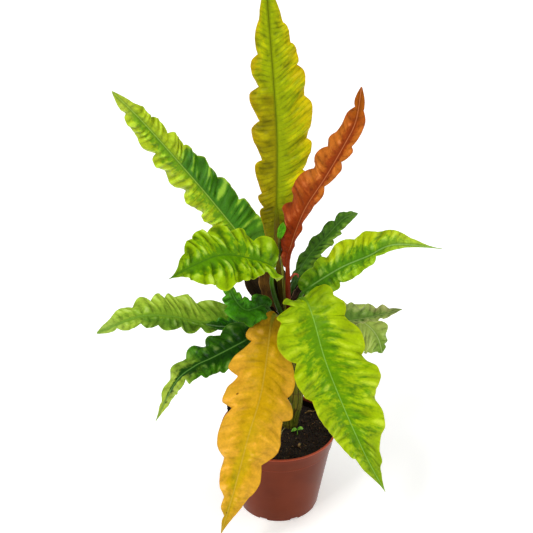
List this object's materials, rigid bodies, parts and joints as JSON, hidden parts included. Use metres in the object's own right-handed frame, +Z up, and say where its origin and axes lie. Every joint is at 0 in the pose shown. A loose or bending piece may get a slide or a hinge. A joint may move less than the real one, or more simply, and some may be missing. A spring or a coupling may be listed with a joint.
{
  "type": "potted ring of fire philodendron",
  "caption": "Potted houseplant with long, lobed and waved leaves in green, yellow and orange on stalks from a short cane, in a round plastic nursery pot of soil.",
  "frame": {"origin": "middle of the pot's underside, on the floor", "axes": "+Z up along the pot's axis; -Y towards the side the plant is looked at from in the picture; +X to the right of that view"},
  "size_m": [0.4507, 0.2998, 0.7653],
  "materials": {
    "pot_plastic": "satin reddish brown moulded plastic with a brighter worn lip",
    "potting_soil": "dark crumbly peat with pale flecks and bits of bark",
    "cane_bark": "olive brown, ridged lengthwise, with leaf scars",
    "sprout_green": "thin soft green seedling",
    "leaf_olive_yellow": "soft satin leaf, yellow olive with darker side veins",
    "leaf_copper": "young copper orange leaf, redder at its stalk",
    "leaf_lime": "satin leaf, lime at the edges and green by a pale rib",
    "leaf_pale": "pale green satin leaf",
    "leaf_dark": "deep green satin leaf with lime edge patches",
    "leaf_golden": "golden yellow ageing leaf with a green tint by the rib",
    "leaf_green": "mid green leaf with a lime outer half and a long thin tip",
    "dry_sheath": "dried brown papery sheath"
  },
  "bodies": {
    "root": {"pot": "pot_plastic", "soil": "potting_soil", "cane": "cane_bark", "sprout": "sprout_green", "leaf_top": "leaf_olive_yellow", "leaf_orange": "leaf_copper", "leaf_upper_left": "leaf_lime", "leaf_mid_left": "leaf_lime", "leaf_low_left": "leaf_pale", "leaf_bottom_left": "leaf_dark", "leaf_yellow": "leaf_golden", "leaf_front_right": "leaf_lime", "leaf_upper_right": "leaf_green", "leaf_narrow_right": "leaf_dark", "leaf_back_right": "leaf_pale", "leaf_back_right_low": "leaf_pale", "leaf_dark_left": "leaf_dark", "leaf_dark_low": "leaf_dark", "sheath_left": "dry_sheath", "sheath_dark": "dry_sheath", "sheath_right": "dry_sheath"}
  },
  "joints": []
}
